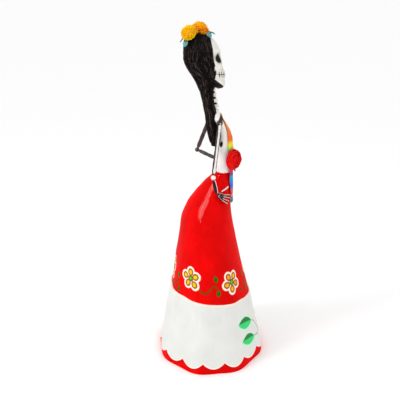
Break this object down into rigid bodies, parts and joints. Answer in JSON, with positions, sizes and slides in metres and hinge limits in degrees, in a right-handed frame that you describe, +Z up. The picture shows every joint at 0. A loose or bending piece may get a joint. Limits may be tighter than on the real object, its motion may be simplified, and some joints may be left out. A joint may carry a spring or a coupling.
{
  "type": "skeleton lady figurine",
  "caption": "Papier-mache skeleton lady with a hollow bell skirt, slim torso, skull head with hair and paper flowers, striped sash, rose and bendable wire arms.",
  "frame": {"origin": "on the table at the middle of the skirt's hem", "axes": "+Z up; the figure looks along -Y; its right side is -X"},
  "size_m": [0.1944, 0.1284, 0.3999],
  "materials": {
    "red_paint": "glossy red paint on papier-mache",
    "white_paint": "white paint on papier-mache",
    "bone_paint": "satin white paint on papier-mache",
    "arm_paint": "black paint on paper-wrapped wire",
    "steel_wire": "bare drawn wire",
    "cardboard": "grey-brown cardboard",
    "black_fibre": "loose black fibre",
    "yellow_paper": "crimped yellow paper",
    "orange_paper": "crimped orange paper",
    "teal_paper": "teal paper leaf",
    "striped_cloth": "woven cloth in coloured stripes",
    "rose_paper": "red paper petals"
  },
  "bodies": {
    "figure": {"skirt_shell": "red_paint", "flounce": "white_paint", "hip_disc": "cardboard", "spine_wire": "steel_wire", "shoulder_wire": "steel_wire", "bodice": "white_paint", "neck": "bone_paint", "skull": "bone_paint", "hair": "black_fibre", "marigold_right": "yellow_paper", "marigold_top": "orange_paper", "marigold_left": "yellow_paper", "crown_leaf_1": "teal_paper", "crown_leaf_2": "teal_paper", "crown_leaf_3": "teal_paper", "crown_leaf_4": "teal_paper", "crown_leaf_5": "teal_paper", "crown_leaf_6": "teal_paper", "sash": "striped_cloth", "sash_fringe": "striped_cloth"},
    "right_upper": {"right_upper_arm": "arm_paint", "right_elbow_bead": "bone_paint"},
    "right_lower": {"right_forearm": "arm_paint", "right_palm": "arm_paint", "right_thumb": "arm_paint", "right_index_finger": "arm_paint", "right_middle_finger": "arm_paint", "right_ring_finger": "arm_paint", "right_little_finger": "arm_paint"},
    "left_upper": {"left_upper_arm": "arm_paint", "left_elbow_bead": "bone_paint"},
    "left_lower": {"left_forearm": "arm_paint", "left_palm": "arm_paint", "left_thumb": "arm_paint", "left_index_finger": "arm_paint", "left_middle_finger": "arm_paint", "left_ring_finger": "arm_paint", "left_little_finger": "arm_paint", "rose_petals": "rose_paper", "rose_bud": "rose_paper"}
  },
  "joints": [
    {"name": "right_shoulder", "type": "hinge", "parent": "figure", "child": "right_upper", "pos_m": [-0.0276, -0.0101, 0.2858], "axis": [-0.9853, -0.1678, -0.0321], "range_deg": [0, 20]},
    {"name": "right_elbow", "type": "hinge", "parent": "right_upper", "child": "right_lower", "pos_m": [-0.0315, -0.0026, 0.2214], "axis": [-1, 0, 0], "range_deg": [0, 40]},
    {"name": "left_shoulder", "type": "hinge", "parent": "figure", "child": "left_upper", "pos_m": [0.0276, -0.0007, 0.2876], "axis": [-0.9853, -0.1678, -0.0321], "range_deg": [0, 15]},
    {"name": "left_elbow", "type": "hinge", "parent": "left_upper", "child": "left_lower", "pos_m": [0.054, 0.0166, 0.238], "axis": [0, 0, 1], "range_deg": [0, 25]}
  ]
}
